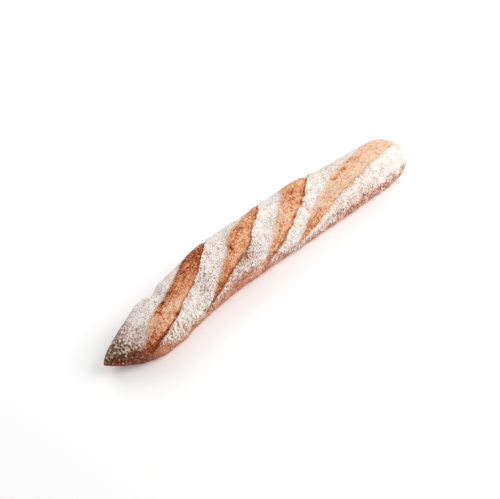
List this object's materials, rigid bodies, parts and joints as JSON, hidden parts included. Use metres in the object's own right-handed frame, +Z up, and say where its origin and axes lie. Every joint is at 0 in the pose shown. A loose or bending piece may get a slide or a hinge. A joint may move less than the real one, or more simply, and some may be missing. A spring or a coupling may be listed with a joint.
{
  "type": "baguette",
  "caption": "Long floured loaf of bread with slanting slashes across its domed top, one pointed end, one round end and a flat sole.",
  "frame": {"origin": "middle of the loaf's box, on the table that the sole lies on", "axes": "+X along the loaf from the pointed end to the round end, +Z up, -Y the side that the slashes start on"},
  "size_m": [0.4797, 0.0864, 0.0544],
  "materials": {
    "crust": "matte floured crust, with toasted crumb in the slashes"
  },
  "bodies": {
    "root": {"loaf": "crust"}
  },
  "joints": []
}
